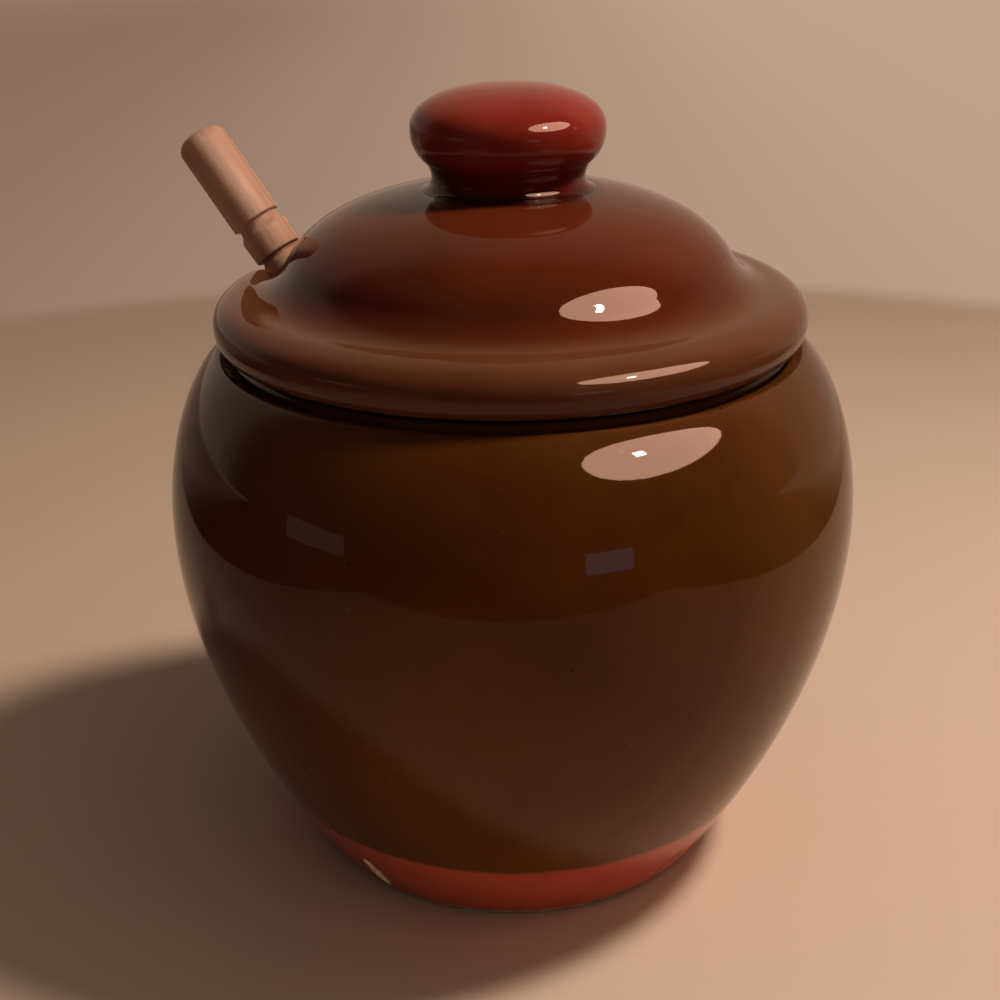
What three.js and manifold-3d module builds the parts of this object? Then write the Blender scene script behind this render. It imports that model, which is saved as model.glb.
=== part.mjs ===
// Honey pot: bellied stoneware body, loose domed lid with a rolled flange, a knob
// luted onto the dome, and a turned wooden dipper that leans out through a notch in
// the lid. Millimetres, +Z up, the table at z = 0, the dipper leaning towards -X.
import * as THREE from "three";
import { mergeVertices } from "three/addons/utils/BufferGeometryUtils.js";
import Module from "manifold-3d";

// Body, outside
const mouthR = 42.7;
const mouthEdge = 1.5;
const seatWidth = 4.2;
const seatOuterR = mouthR + mouthEdge + seatWidth;
const rimSlope = 3.9;
const ledgeStep = 0.6;
const ledgeDrop = 1.1;
const ledgeEdge = 0.9;
const ledgeTilt = 0.05;
const shoulderR = seatOuterR + rimSlope;
const bellyBulge = 9.7;
const bellyR = shoulderR + bellyBulge;
const bandIn = 24;
const bandR = bellyR - bandIn;
const bandZ = 2;
const bellyZ = 67.5;
const shoulderRise = 29.6;
const shoulderZ = bellyZ + shoulderRise;
const rimRise = 0.8;
const seatZ = shoulderZ + rimRise;
const lowerHandleR = 13;
const lowerHandleZ = 18.5;
const bellyHandleBelow = 22.4;
const bellyHandleAbove = 13.5;
const shoulderHandleR = 4.9;
const shoulderHandleZ = 3.7;

// Body, inside and foot
const wall = 5;
const footTuck = 1.5;
const footWidth = 5;
const footEdge = 0.6;
const recessZ = 2;
const recessFillet = 1.2;
const floorThick = 6;
const toeIn = 10;
const floorFillet = 9;
const toeRise = 12;
const wallStop = 15.9;
const throatDepth = 5.3;
const underRimDepth = 7.2;
const underRimOut = 2.3;
const underRimPull = 5;
const footOuterR = bandR - footTuck;
const footInnerR = footOuterR - footWidth;
const floorZ = recessZ + floorThick;
const floorR = bandR - toeIn;
const wallFromZ = floorZ + toeRise;
const wallToZ = seatZ - wallStop;
const throatZ = seatZ - throatDepth;
const underRimZ = seatZ - underRimDepth;
const underRimR = mouthR + underRimOut;

// Lid, collar in the mouth
const collarGap = 1;
const collarWall = 4;
const collarDepth = 6;
const collarEdge = 1.2;
const collarFillet = 1;
const collarOuterR = mouthR - collarGap;
const collarInnerR = collarOuterR - collarWall;
const collarZ = seatZ - collarDepth;

// Lid, rolled flange
const lipIn = 0.8;
const underWidth = 2.7;
const underRise = 1.2;
const underPull = 0.9;
const rollOut = 4.6;
const rollRise = 4.9;
const rollLowPull = 2.3;
const rollHighPull = 2.5;
const brimIn = 5;
const brimRise = 9.5;
const brimPull = 3.2;
const brimFall = 0.5;
const lipR = seatOuterR - lipIn;
const underR = lipR + underWidth;
const underZ = seatZ + underRise;
const rollR = lipR + rollOut;
const rollZ = seatZ + rollRise;
const brimR = rollR - brimIn;
const brimZ = seatZ + brimRise;

// Lid, dome
const domeIn = 0.8;
const domeRise = 5.7;
const domeHeight = 21.5;
const domeWall = 5;
const rootIn = 1.4;
const rootRise = 0.15;
const rootPull = 2.9;
const rootPullRise = 0.2;
const rootDomeIn = 0.5;
const rootDomeRise = 2.3;
const rootClimb = 4.85;
const knobSeatCut = 0.8;
const domeR = collarOuterR - domeIn;
const domeZ = seatZ + domeRise;
const rootR = brimR - rootIn;
const rootZ = brimZ + rootRise;
const rootDomeR = domeR - rootDomeIn;
const rootDomeZ = rootZ + rootClimb;
const knobSeatZ = domeZ + domeHeight - knobSeatCut;

// Knob
const knobR = 16.8;
const knobRise = 10.1;
const knobUp = 7.5;
const knobDown = 9.1;
const knobJoinIn = 2.6;
const neckIn = 3.9;
const neckTopRise = 2.8;
const neckLowRise = 0.5;
const knobBaseIn = 1.7;
const knobZ = knobSeatZ + knobRise;
const knobJoinR = knobR - knobJoinIn;
const neckR = knobR - neckIn;
const neckTopZ = knobSeatZ + neckTopRise;
const neckLowZ = knobSeatZ + neckLowRise;
const knobBaseR = knobR - knobBaseIn;

// Dipper, measured along its axis from the height of the rim seat
const gripR = 4.75;
const gripEnd = 40.4;
const gripRound = 2.4;
const grooveTop = 21.3;
const grooveWidth = 2.4;
const grooveDepth = 0.85;
const beadIn = 0.05;
const beadTaper = 0.1;
const beadLength = 4.7;
const secondDepth = 0.9;
const secondWidth = 0.6;
const shaftR = 4;
const headLength = 38;
const headR = 11;
const discEdge = 0.7;
const discGap = 2;
const coreR = 5.4;
const tipGap = 0.35;
const restGap = 0.35;
const grooveLow = grooveTop - grooveWidth;
const grooveR = gripR - grooveDepth;
const beadR = gripR - beadIn;
const beadLowR = beadR - beadTaper;
const beadEnd = grooveLow - beadLength;
const secondR = beadLowR - secondDepth;
const secondEnd = beadEnd - secondWidth;

// The dipper's lean, from the mouth's edge on one side to the floor on the other
const shaftIn = 4.7;
const tipIn = 10.65;
const tipLift = 3.8;
const leanAcross = mouthR - shaftIn + bandR - tipIn;
const leanUp = seatZ - floorZ - tipLift;
const lean = Math.atan2(leanAcross, leanUp);

// Notch for the dipper
const notchClearance = 1.2;
const notchReach = 30;
const notchAbove = 26;
const notchBelow = 22;
const notchHalf = shaftR + notchClearance;

// Shares and counts
const domeShares = 2.465;
const knobUpShares = 2.33;
const knobDownShares = 2.29;
const discCount = 7;
const headShares = 3;
const headEndShare = 0.93;
const aroundPot = 60;
const aroundKnob = 40;
const aroundDipper = 24;

const point = (r, z) => new THREE.Vector2(r, z);

// Points along a cubic from a to d, leaving out the first when asked.
function cubic(a, b, c, d, count, skip = 0) {
  const line = new THREE.CubicBezierCurve(a, b, c, d);
  return line.getPoints(count).slice(skip);
}

// Points on a quarter turn round a centre, from one angle to another in quarters.
function round(centre, radius, from, to, count) {
  const made = [];
  for (let i = 0; i <= count; i += 1) {
    const angle = ((from + ((to - from) * i) / count) * Math.PI) / 2;
    const r = centre.x + radius * Math.cos(angle);
    const z = centre.y + radius * Math.sin(angle);
    made.push(point(r, z));
  }
  return made;
}

// A point of a superellipse with half axes a and b, at an angle up from the radius.
function oval(a, b, shares, angle) {
  const r = a * Math.cos(angle) ** (2 / shares);
  const z = b * Math.sin(angle) ** (2 / shares);
  return point(r, z);
}

// A closed profile turned about +Z.
function turned(profile, around) {
  const made = new THREE.LatheGeometry([...profile, profile[0]], around);
  return made.rotateX(Math.PI / 2);
}

// The body's outer line: foot band to belly, then belly to shoulder.
const belly = point(bellyR, bellyZ);
const shoulder = point(shoulderR, shoulderZ);
const lowerLine = new THREE.CubicBezierCurve(
  point(bandR, bandZ),
  point(bandR + lowerHandleR, bandZ + lowerHandleZ),
  point(bellyR, bellyZ - bellyHandleBelow),
  belly,
);
const upperLine = new THREE.CubicBezierCurve(
  belly,
  point(bellyR, bellyZ + bellyHandleAbove),
  point(shoulderR + shoulderHandleR, shoulderZ - shoulderHandleZ),
  shoulder,
);

// A line moved inwards by the wall, kept between two heights.
function inside(line, count, low, high) {
  const made = [];
  for (let i = 0; i <= count; i += 1) {
    const at = line.getPoint(i / count);
    const way = line.getTangent(i / count);
    const moved = point(at.x - wall * way.y, at.y + wall * way.x);
    if (moved.y > low && moved.y < high) made.push(moved);
  }
  return made;
}

function potProfile() {
  const innerLow = inside(lowerLine, 9, wallFromZ, bellyZ);
  const innerHigh = inside(upperLine, 7, bellyZ, wallToZ);
  const wallStart = innerLow[0];
  const wallNext = innerLow[1].clone().sub(wallStart).setLength(floorFillet);
  const wallTop = innerHigh[innerHigh.length - 1];
  const beforeTop = innerHigh[innerHigh.length - 2];
  const upWay = wallTop.clone().sub(beforeTop).setLength(underRimPull);
  return [
    point(0, recessZ),
    point(footInnerR - recessFillet, recessZ),
    point(footInnerR, recessZ - recessFillet),
    point(footInnerR, footEdge),
    point(footInnerR + footEdge, 0),
    point(footOuterR - footEdge, 0),
    point(footOuterR, footEdge),
    ...lowerLine.getPoints(9),
    ...upperLine.getPoints(7).slice(1),
    point(shoulderR - ledgeEdge, shoulderZ - ledgeTilt),
    point(seatOuterR + ledgeStep, seatZ - ledgeDrop),
    point(seatOuterR, seatZ),
    ...round(point(mouthR + mouthEdge, seatZ - mouthEdge), mouthEdge, 1, 2, 3),
    point(mouthR, throatZ),
    point(underRimR, underRimZ),
    ...cubic(
      point(underRimR, underRimZ),
      point(underRimR + underRimPull, underRimZ),
      wallTop.clone().add(upWay),
      wallTop,
      4,
      1,
    ),
    ...innerHigh.slice(0, -1).reverse(),
    ...innerLow.slice().reverse(),
    ...cubic(
      wallStart,
      wallStart.clone().sub(wallNext),
      point(floorR + floorFillet, floorZ),
      point(floorR, floorZ),
      5,
      1,
    ),
    point(0, floorZ),
  ];
}

// Height of a superellipse as an angle, the other way round from oval.
const angleAt = (share, shares) => Math.asin(share ** (shares / 2));

function lidProfile() {
  const low = angleAt((rootDomeZ - domeZ) / domeHeight, domeShares);
  const high = angleAt((knobSeatZ - domeZ) / domeHeight, domeShares);
  const centre = point(0, domeZ);
  const outer = [];
  for (let i = 0; i <= 7; i += 1) {
    const angle = low + ((high - low) * i) / 7;
    outer.push(oval(domeR, domeHeight, domeShares, angle).add(centre));
  }
  const inner = [point(0, domeZ + domeHeight - domeWall)];
  for (let i = 6; i >= 0; i -= 1) {
    const angle = (Math.PI / 2) * (i / 7);
    const at = oval(domeR - domeWall, domeHeight - domeWall, domeShares, angle);
    inner.push(at.add(centre));
  }
  const edgeZ = collarZ + collarEdge;
  return [
    ...inner,
    ...round(point(collarInnerR + collarEdge, edgeZ), collarEdge, 2, 3, 2),
    ...round(point(collarOuterR - collarEdge, edgeZ), collarEdge, 3, 4, 2),
    ...round(
      point(collarOuterR + collarFillet, seatZ - collarFillet),
      collarFillet,
      2,
      1,
      2,
    ),
    point(lipR, seatZ),
    ...cubic(
      point(underR, underZ),
      point(underR + underPull, underZ),
      point(rollR, rollZ - rollLowPull),
      point(rollR, rollZ),
      4,
    ),
    ...cubic(
      point(rollR, rollZ),
      point(rollR, rollZ + rollHighPull),
      point(brimR + brimPull, brimZ - brimFall),
      point(brimR, brimZ),
      5,
      1,
    ),
    ...cubic(
      point(rootR, rootZ),
      point(rootR - rootPull, rootZ + rootPullRise),
      point(rootDomeR, rootZ + rootDomeRise),
      outer[0],
      4,
    ),
    ...outer.slice(1),
    point(0, knobSeatZ),
  ];
}

function knobProfile() {
  const joinAngle = Math.acos((knobJoinR / knobR) ** (knobDownShares / 2));
  const lower = [];
  for (let i = 4; i >= 0; i -= 1) {
    const at = oval(knobR, knobDown, knobDownShares, (joinAngle * i) / 4);
    lower.push(point(at.x, knobZ - at.y));
  }
  const upper = [];
  for (let i = 1; i < 8; i += 1) {
    const at = oval(knobR, knobUp, knobUpShares, ((Math.PI / 2) * i) / 8);
    upper.push(point(at.x, knobZ + at.y));
  }
  return [
    point(0, knobSeatZ),
    ...cubic(
      point(knobBaseR, knobSeatZ),
      point(neckR, neckLowZ),
      point(neckR, neckTopZ),
      lower[0],
      5,
    ),
    ...lower.slice(1),
    ...upper,
    point(0, knobZ + knobUp),
  ];
}

// The dipper's head from its tip up, at heights above the tip.
function headProfile() {
  const disc = (headLength - (discCount - 1) * discGap) / discCount;
  const radius = (height) => {
    const share = headEndShare * Math.abs((2 * height) / headLength - 1);
    return headR * (1 - share ** headShares) ** (1 / headShares);
  };
  const made = [];
  for (let i = 0; i < discCount; i += 1) {
    const low = i * (disc + discGap);
    const high = low + disc;
    if (i > 0) made.push(point(coreR, low));
    made.push(point(radius(low) - discEdge, low));
    made.push(point(radius(low + discEdge), low + discEdge));
    made.push(point(radius(high - discEdge), high - discEdge));
    made.push(point(radius(high) - discEdge, high));
    if (i < discCount - 1) made.push(point(coreR, high));
  }
  return made;
}

// The whole dipper, with zero at the height of the rim seat. The head's place
// follows from the tip standing just over the floor.
function dipperProfile() {
  const head = headProfile();
  const sunk = head.map((p) => p.y * Math.cos(lean) - p.x * Math.sin(lean));
  const drop = seatZ - floorZ - tipGap + Math.min(...sunk);
  const tip = -drop / Math.cos(lean);
  const placed = head.map((p) => point(p.x, p.y + tip));
  return [
    point(0, tip),
    ...placed,
    point(shaftR, tip + headLength),
    point(shaftR, secondEnd - discEdge),
    point(secondR, secondEnd),
    point(secondR, beadEnd),
    point(beadLowR, beadEnd),
    point(beadR, grooveLow),
    point(grooveR, (grooveTop + grooveLow) / 2),
    point(grooveR, grooveTop),
    point(gripR, grooveTop),
    ...round(point(gripR - gripRound, gripEnd - gripRound), gripRound, 0, 1, 5),
    point(0, gripEnd),
  ];
}

// Where the dipper's axis crosses the rim seat: the shaft lies on the mouth's edge.
const reach = mouthEdge + shaftR + restGap - mouthEdge * Math.sin(lean);
const axisR = mouthR + mouthEdge - reach / Math.cos(lean);

// Turns something built about +Z so that it leans with the dipper.
function leaning(geometry) {
  geometry.rotateY(-lean);
  return geometry.translate(-axisR, 0, seatZ);
}

const wasm = await Module();
wasm.setup();

// A geometry as a solid, and back.
function solid(geometry) {
  const bare = geometry.clone();
  bare.deleteAttribute("normal");
  bare.deleteAttribute("uv");
  const merged = mergeVertices(bare, 1e-4);
  return new wasm.Manifold(
    new wasm.Mesh({
      numProp: 3,
      vertProperties: merged.attributes.position.array,
      triVerts: new Uint32Array(merged.index.array),
    }),
  );
}

function geometryOf(made) {
  const mesh = made.getMesh();
  const geometry = new THREE.BufferGeometry();
  const positions = new Float32Array(mesh.vertProperties);
  geometry.setAttribute("position", new THREE.BufferAttribute(positions, 3));
  geometry.setIndex(new THREE.BufferAttribute(new Uint32Array(mesh.triVerts), 1));
  geometry.computeVertexNormals();
  return geometry;
}

// The notch: a slot with a round inner end, parallel to the dipper, open outwards.
function notch() {
  const shape = new THREE.Shape();
  shape.moveTo(-notchReach, -notchHalf);
  shape.lineTo(0, -notchHalf);
  shape.absarc(0, 0, notchHalf, -Math.PI / 2, Math.PI / 2, false);
  shape.lineTo(-notchReach, notchHalf);
  shape.closePath();
  const slot = new THREE.ExtrudeGeometry(shape, {
    depth: notchAbove + notchBelow,
    bevelEnabled: false,
    curveSegments: 16,
  });
  slot.translate(0, 0, -notchBelow);
  return leaning(slot);
}

const glaze = new THREE.MeshStandardMaterial({ color: 0x3a2014, roughness: 0.15 });
const redGlaze = new THREE.MeshStandardMaterial({ color: 0x7c2c20, roughness: 0.15 });
const wood = new THREE.MeshStandardMaterial({ color: 0xc18f76, roughness: 0.6 });

const part = new THREE.Group();
function add(name, geometry, material) {
  const mesh = new THREE.Mesh(geometry, material);
  mesh.name = name;
  part.add(mesh);
}

const lidBlank = solid(turned(lidProfile(), aroundPot));
add("pot_body", turned(potProfile(), aroundPot), glaze);
add("lid_dome", geometryOf(lidBlank.subtract(solid(notch()))), glaze);
add("lid_knob", turned(knobProfile(), aroundKnob), redGlaze);
add("honey_dipper", leaning(turned(dipperProfile(), aroundDipper)), wood);

// The overall box stands centred on the origin; the dipper's end sticks out.
const box = new THREE.Box3().setFromObject(part, true);
part.position.x = -(box.min.x + box.max.x) / 2;

export default part;
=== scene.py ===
"""Honey pot with a notched lid and a wooden dipper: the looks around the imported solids.

Lengths are in millimetres up to the meshes and in metres from there on. The pot's axis
stands a little towards +X of the origin, and the dipper leans towards -X.
"""

import math

import bmesh
import bpy
import numpy as np
from mathutils import Matrix, Vector, noise


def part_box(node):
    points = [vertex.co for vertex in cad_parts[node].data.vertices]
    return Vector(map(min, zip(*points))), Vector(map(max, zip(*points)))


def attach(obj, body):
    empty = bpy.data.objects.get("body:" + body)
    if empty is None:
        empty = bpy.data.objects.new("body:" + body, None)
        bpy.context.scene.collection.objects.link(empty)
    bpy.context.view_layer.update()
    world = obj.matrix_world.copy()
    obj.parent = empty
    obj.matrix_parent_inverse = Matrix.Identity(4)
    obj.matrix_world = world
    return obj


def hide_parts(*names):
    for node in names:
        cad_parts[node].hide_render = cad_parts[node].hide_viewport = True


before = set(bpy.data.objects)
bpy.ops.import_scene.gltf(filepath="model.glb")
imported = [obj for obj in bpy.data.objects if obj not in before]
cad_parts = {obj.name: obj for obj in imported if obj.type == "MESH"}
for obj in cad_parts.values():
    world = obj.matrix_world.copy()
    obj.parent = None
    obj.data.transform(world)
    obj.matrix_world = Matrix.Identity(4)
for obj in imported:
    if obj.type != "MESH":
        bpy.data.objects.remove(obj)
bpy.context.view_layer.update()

MM = 0.001
QUARTER = math.pi / 2

# The pot's axis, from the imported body's own box
pot_low, pot_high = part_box("pot_body")
AXIS_X = (pot_low.x + pot_high.x) / 2

# Body, outside
BELLY_R, BELLY_Z = 62.0, 67.5
BAND_R, BAND_Z = 38.0, 2.0
SHOULDER_R, SHOULDER_Z = 52.3, 97.1
LOWER_LINE = [(BAND_R, BAND_Z), (51.0, 20.5), (BELLY_R, 45.1), (BELLY_R, BELLY_Z)]
UPPER_LINE = [(BELLY_R, BELLY_Z), (BELLY_R, 81.0), (57.2, 93.4), (SHOULDER_R, SHOULDER_Z)]

# Body, rim, inside and foot
SEAT_Z = 97.9
SEAT_OUTER_R = 48.4
LEDGE_R, LEDGE_Z = 49.0, 96.8
MOUTH_R, MOUTH_EDGE = 42.7, 1.5
THROAT_Z = 92.6
UNDER_RIM = (45.0, 90.7)
UNDER_RIM_PULL = 5.0
WALL = 5.0
FLOOR_Z, FLOOR_R, FLOOR_FILLET = 8.0, 28.0, 9.0
WALL_FROM_Z, WALL_TO_Z = 20.0, 82.0
FOOT_OUTER_R, FOOT_INNER_R, FOOT_EDGE = 36.5, 31.5, 0.6
RECESS_Z, RECESS_FILLET = 2.0, 1.2
BARE_Z = 1.7
BAND_TOP_Z = 16.1

# Body, control points of the small curves at the foot, the rim, its step and the throat
FOOT_LINE = [(FOOT_OUTER_R, FOOT_EDGE), (FOOT_OUTER_R, 1.2), (37.4, 1.4), (BAND_R, BAND_Z)]
RIM_LINE = [(SHOULDER_R, SHOULDER_Z), (51.9, 97.35), (51.5, 97.35), (51.0, 97.1)]
STEP_LOW, STEP_HIGH = (LEDGE_R + 0.4, LEDGE_Z), (SEAT_OUTER_R - 0.4, SEAT_Z)
STEP_LINE = [STEP_LOW, (48.7, LEDGE_Z), (48.6, SEAT_Z), STEP_HIGH]
THROAT_LINE = [(MOUTH_R, THROAT_Z), (MOUTH_R, 91.6), (43.6, 90.75), UNDER_RIM]

# Lid
LIP_R = 47.6
UNDER_R, UNDER_Z = 50.3, 99.1
ROLL_R, ROLL_Z = 52.2, 102.8
BRIM_R, BRIM_Z = 47.2, 107.4
ROOT_R, ROOT_Z = 45.8, 107.55
ROOT_DOME_Z = 112.4
DOME_R, DOME_UP, DOME_Z, DOME_POWER = 40.9, 21.5, 103.6, 2.465
DOME_WALL = 5.0
KNOB_SEAT_Z = 124.3
COLLAR_OUTER_R, COLLAR_INNER_R, COLLAR_Z = 41.7, 37.7, 91.9
COLLAR_EDGE, COLLAR_FILLET = 1.2, 1.0
NOTCH_HALF = 5.2
NOTCH_ROUND = 1.6
LID_VOXEL, LID_TABLE_STEP = 0.7, 0.25

# Lid, control points of the curves from the lip out to the roll, over it and up to the dome
LIP_LINE = [(UNDER_R, UNDER_Z), (51.2, UNDER_Z), (ROLL_R, ROLL_Z - 2.3), (ROLL_R, ROLL_Z)]
ROLL_LINE = [(ROLL_R, ROLL_Z), (ROLL_R, 105.3), (BRIM_R + 3.2, BRIM_Z - 0.5), (BRIM_R, BRIM_Z)]
BRIM_LINE = [(BRIM_R, BRIM_Z), (46.8, 107.45), (46.3, 107.51), (ROOT_R, ROOT_Z)]
ROOT_LINE_START = [(ROOT_R, ROOT_Z), (42.9, 107.8), (40.4, 109.85)]

# Knob
KNOB_R, KNOB_Z, KNOB_UP, KNOB_DOWN = 16.8, 134.4, 7.5, 9.1
KNOB_POWER_UP, KNOB_POWER_DOWN = 2.33, 2.29
KNOB_JOIN_R = 14.2
KNOB_BASE_R = 15.1
NECK_R, NECK_TOP_Z, NECK_LOW_Z = 12.9, 127.1, 124.8

# Dipper, along its axis from the height of the rim seat
LEAN = math.atan2(65.35, 86.1)
SHAFT_R, REST_GAP, TIP_GAP = 4.0, 0.35, 0.35
REACH = MOUTH_EDGE + SHAFT_R + REST_GAP - MOUTH_EDGE * math.sin(LEAN)
AXIS_R = MOUTH_R + MOUTH_EDGE - REACH / math.cos(LEAN)
GRIP_R, GRIP_END, GRIP_ROUND = 4.75, 40.4, 2.4
GROOVE_TOP, GROOVE_LOW, GROOVE_R = 21.3, 18.9, 3.9
BEAD_R, BEAD_LOW_R, BEAD_END = 4.7, 4.6, 14.2
SECOND_R, SECOND_END = 3.7, 13.6
HEAD_LENGTH, HEAD_R, CORE_R = 38.0, 11.0, 5.4
DISC_COUNT, DISC_GAP, DISC_EDGE = 7, 2.0, 0.7
HEAD_POWER, HEAD_END = 3.0, 0.93
CORNER_ROUND, GROOVE_SLOPE, BEAD_SLOPE = 0.45, 0.1, 0.15

# Chip in the glaze at the band's lower edge: where it lies, half its width and its height,
# its rise for each millimetre round the band, its depth, the share that its slope takes,
# and how far the finer patch round it goes in half widths, half heights and millimetres
CHIP_ANGLE, CHIP_Z = math.radians(-106), 6.2
CHIP_HALF = (1.6, 4.2)
CHIP_SLANT = -0.8
CHIP_DEPTH, CHIP_EDGE = 1.1, 0.28
CHIP_PATCH = (2.0, 2.4)
CHIP_TOP = 6.0

# Unevenness of the chip's outline, of its ragged edge and of its floor: strength, seed, scale
CHIP_UNEVEN, CHIP_RAGGED, CHIP_FLOOR = (0.3, 0, 0.9), (0.16, 5, 2.6), (0.2, 9, 1.7)

# Tones of the glazes, the bare clay and the wood, some of them painted light and shade
BODY_DARK, BODY_LIGHT, BODY_LOW = "4b240d", "5e3611", "5c3a10"
BAND_DARK, BAND_LIGHT, BAND_EDGE = "a54230", "b5503d", "7d4a30"
# The flange's tones are painted light: lighter than the dome's, as its upturned face catches more
# light
DOME_DARK, DOME_LIGHT, LIT_FLANGE_DARK, LIT_FLANGE_LIGHT = "491c0f", "5b2513", "582f1b", "643925"
# The neck's tone is painted shade under the knob's cap
KNOB_DARK, KNOB_LIGHT, NECK_SHADE = "7c241a", "8c3226", "5e1a10"
# Painted shade where the knob meets the dome
KNOB_FOOT_SHADE = "2a0c07"
CLAY_DARK, CLAY_LIGHT, CLAY_FOOT_TONE = "a87f66", "c9a58b", "6d4a38"
# The chip's clay, painted near white: its own pale colour and a painted highlight
CHIP_CLAY_AND_SHEEN_DARK, CHIP_CLAY_AND_SHEEN_LIGHT = "f0ddd0", "fff4ea"
WOOD_DARK, WOOD_LIGHT, WOOD_STREAK, WOOD_PORE = "b98e77", "d2ad96", "a0725a", "8d5b3d"
WOOD_GROOVE, WOOD_END, WOOD_WET = "6a3f27", "a37350", "a5693a"

# Specks: tone, scale of the cells, size in a cell, share of the cells, and seed
BODY_SPECKS = (("5f3d28", 300.0, 0.1, 0.05, 0.3), ("331a0c", 360.0, 0.09, 0.04, 0.7))
BAND_SPECKS = (("9a5540", 420.0, 0.1, 0.06, 0.5),)
LID_SPECKS = (("6d4029", 300.0, 0.1, 0.05, 0.2), ("33140b", 340.0, 0.09, 0.04, 0.6))
KNOB_SPECKS = (("97503c", 420.0, 0.1, 0.05, 0.4),)

# Scale of the glazes' clouds, then scale and height in metres of what is uneven: how the
# painted edges wander, and the glaze's slow ripples and fine peel
BODY_CLOUD, BAND_CLOUD, LID_CLOUD, KNOB_CLOUD = 16.0, 60.0, 20.0, 50.0
BAND_WAVE, BAND_RIPPLE, KNOB_WAVE = (42.0, 0.0006), (260.0, 0.00015), (120.0, 0.0008)
GLAZE_RIPPLE, KNOB_RIPPLE, GLAZE_PEEL = (34.0, 0.00012), (34.0, 0.00008), (700.0, 0.000003)

# Grain of the wood: scale, detail, roughness, warp, and the share of the scale lengthwise
WOOD_STREAKS = (420.0, 5.0, 0.62, 0.6, 0.055)
WOOD_BANDS = (110.0, 3.0, 0.5, 0.8, 0.1)
WOOD_PORES = (2300.0, 2.0, 0.5, 0.0, 0.03)

# Where the tones change, in millimetres: heights, distances from the axis, and heights
# along the dipper
LOW_SPAN, FOOT_SPAN, RECESS_SPAN = (20, 75), (BARE_Z - 0.4, BARE_Z), (30.8, 31.2)
BAND_SPAN = (BAND_TOP_Z - 0.2, BAND_TOP_Z + 0.2)
EDGE_FROM, EDGE_TO = (BAND_TOP_Z - 0.7, BAND_TOP_Z - 0.1), (BAND_TOP_Z + 0.1, BAND_TOP_Z + 0.7)
LIT_FLANGE_SPAN, KNOB_SHADE_SPAN, KNOB_SHADE_RISE = (40.5, 45), (15.5, 17.2), (122.5, 123.8)
SEAT_SPAN, RING_SPAN, LIP_SPAN = (SEAT_Z - 0.4, SEAT_Z + 0.2), (42.5, 43), (47.2, LIP_R)
NECK_SPAN, KNOB_FOOT_SPAN = (126.2, 131.5), (124.3, 126.2)
GROOVE_FROM, GROOVE_TO, END_SPAN, WET_SPAN = (13.3, 13.6), (14.1, 14.4), (38.5, 41.2), (-75, -55)

# Roughness of the brown glaze and of the knob's, what bare clay adds, the wood's, and the
# clear coat that gives the glaze its gloss
BROWN_ROUGH, KNOB_ROUGH, BARE_ROUGH = (0.10, 0.16), (0.08, 0.14), 0.65
WOOD_ROUGH, WOOD_GLOSS, WOOD_RELIEF = (0.5, 0.62), 0.35, 0.00012
COAT_ROUGH, COAT_IOR, GLAZE_IOR = 0.03, 1.25, 1.5

# Table and wall: their tones, then in metres half the floor's side, how the mirrored table
# is set back and ends, where gloss and the camera meet the wall, and where its shade ends
TABLE_DARK, TABLE_LIGHT, ROOM_DARK = "d6bba6", "dac0ac", "2c1a10"
WALL_DIM, WALL_LIT = "8c6e5c", "bfa38d"
FLOOR_HALF = 6.0
TABLE_SHIFT, TABLE_DEPTH_SHARE = 0.05, 0.8
MIRROR_FROM, WALL_SHADE = (0.1, 0.3), (-0.45, 0.4)
TABLE_END, WALL_NEAR, WALL_FAR = (0.252, 0.262), (0.405, 0.44), (1.5, 4.0)
FLOOR_ROUGH, FLOOR_GLOSS = 0.85, 0.2

# Light round the object, and where a mirrored direction begins to show the wall
ROOM_LIGHT = (0.045, 0.032, 0.023, 1)
WALL_DIRECTION = (0.1, 0.45)

# Lamps: azimuth from the camera's, elevation, distance, shape, width and height, power,
# colour, the height aimed at, and the kind of ray that they serve
LAMPS = {
    "lamp": (86.1, 61.4, 0.59, "RECTANGLE", (0.075, 0.075), 2.65, (1.0, 0.86, 0.72), 0, "matt"),
    "window": (57, 40, 0.8, "ELLIPSE", (0.7, 0.42), 19.5, (1.0, 0.56, 0.38), 0.08, "gloss"),
    "bulb": (50, 40, 0.75, "RECTANGLE", (0.045, 0.045), 1.2, (1.0, 0.85, 0.7), 0.09, "gloss"),
    "screen": (29, 0, 1.0, "RECTANGLE", (0.26, 0.12), 0.11, (0.5, 0.75, 1.0), 0.06, "gloss"),
    "doorway": (-63, 0, 1.2, "RECTANGLE", (0.45, 0.14), 0.1, (1.0, 0.75, 0.6), 0.06, "gloss"),
    "ceiling": (0, 90, 1.3, "RECTANGLE", (1.5, 1.5), 1.8, (1.0, 0.84, 0.72), 0, "matt"),
    "fill": (20, 20, 1.2, "RECTANGLE", (1.0, 1.0), 1.2, (1.0, 0.8, 0.62), 0.07, "matt"),
}

# How finely the turned pieces are divided
AROUND_BODY, AROUND_KNOB, AROUND_DIPPER = 256, 192, 128

# The photograph's camera, round the pot's axis
CAMERA_AZIMUTH = math.radians(22.5)
CAMERA_BACK, CAMERA_HIGH = 278.1, 178.4
CAMERA_YAW, CAMERA_PITCH, CAMERA_ROLL = (math.radians(a) for a in (-0.468, -22.006, -0.823))
CAMERA_LENS, CAMERA_SENSOR, CAMERA_CLIP = 57.97, 36.0, (0.01, 50)
FRONT = math.degrees(CAMERA_AZIMUTH)


def cubic(points, count):
    """Points along a cubic curve."""
    a, b, c, d = (np.array(p, float) for p in points)
    t = np.linspace(0, 1, count + 1)[:, None]
    return (1 - t) ** 3 * a + 3 * (1 - t) ** 2 * t * b + 3 * (1 - t) * t**2 * c + t**3 * d


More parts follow.
